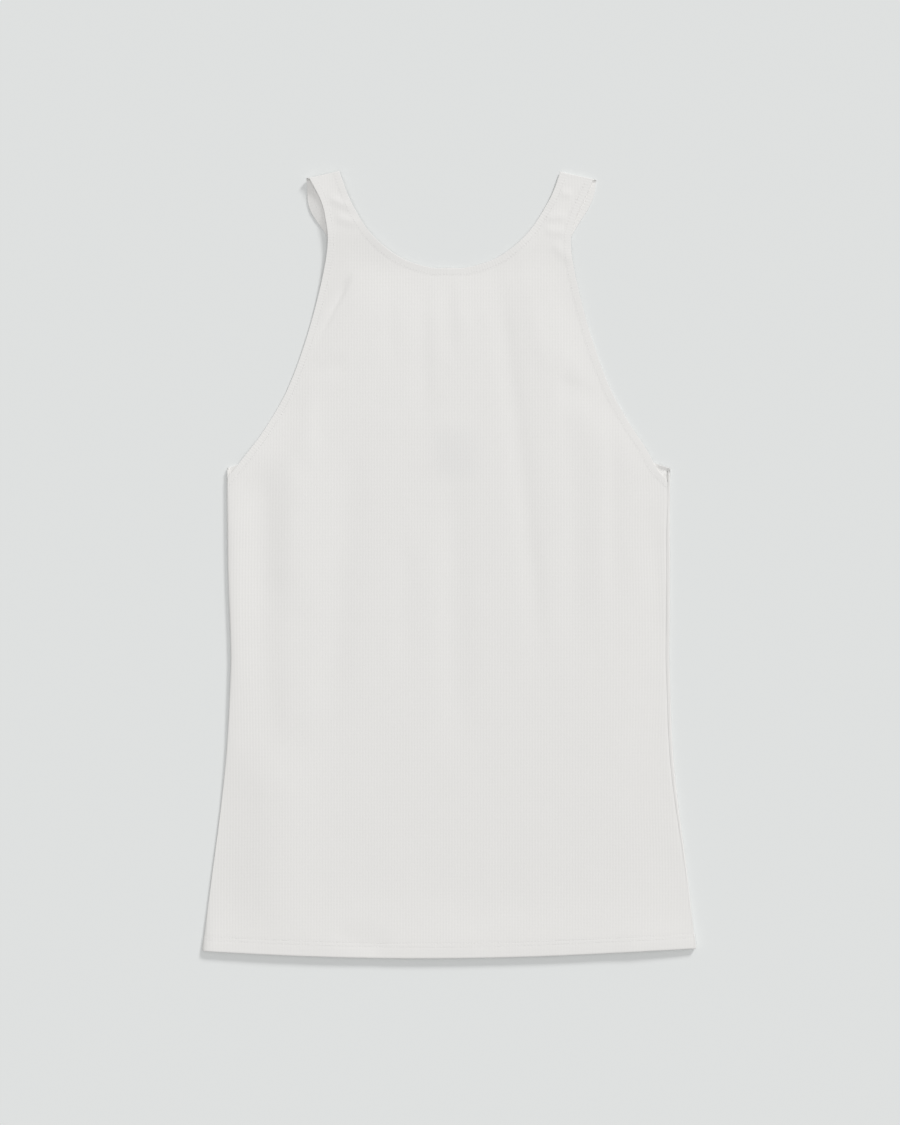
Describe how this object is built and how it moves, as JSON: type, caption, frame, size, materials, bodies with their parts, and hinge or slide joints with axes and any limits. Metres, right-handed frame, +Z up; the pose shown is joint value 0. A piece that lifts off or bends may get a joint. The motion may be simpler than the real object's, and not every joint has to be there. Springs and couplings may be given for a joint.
{
  "type": "racerback tank top",
  "caption": "White jersey racerback tank top laid flat, front up, with scoop neck, bound neck and armholes, narrow straps and turned hem.",
  "frame": {"origin": "under the middle of the garment's bounding box, on the surface that it lies on", "axes": "+X to the right and +Y towards the neck as seen from above with the front up, +Z up from the surface"},
  "size_m": [0.3952, 0.6291, 0.0074],
  "materials": {
    "jersey": "matte fine-rib cotton jersey, white",
    "binding": "matte folded self-fabric binding, white",
    "label": "blank woven label, light grey"
  },
  "bodies": {
    "root": {"front_panel": "jersey", "back_panel": "jersey", "neck_band_front": "binding", "neck_band_back": "binding", "armhole_band_front_right": "binding", "armhole_band_front_left": "binding", "armhole_band_back_right": "binding", "armhole_band_back_left": "binding", "neck_label": "label"}
  },
  "joints": []
}
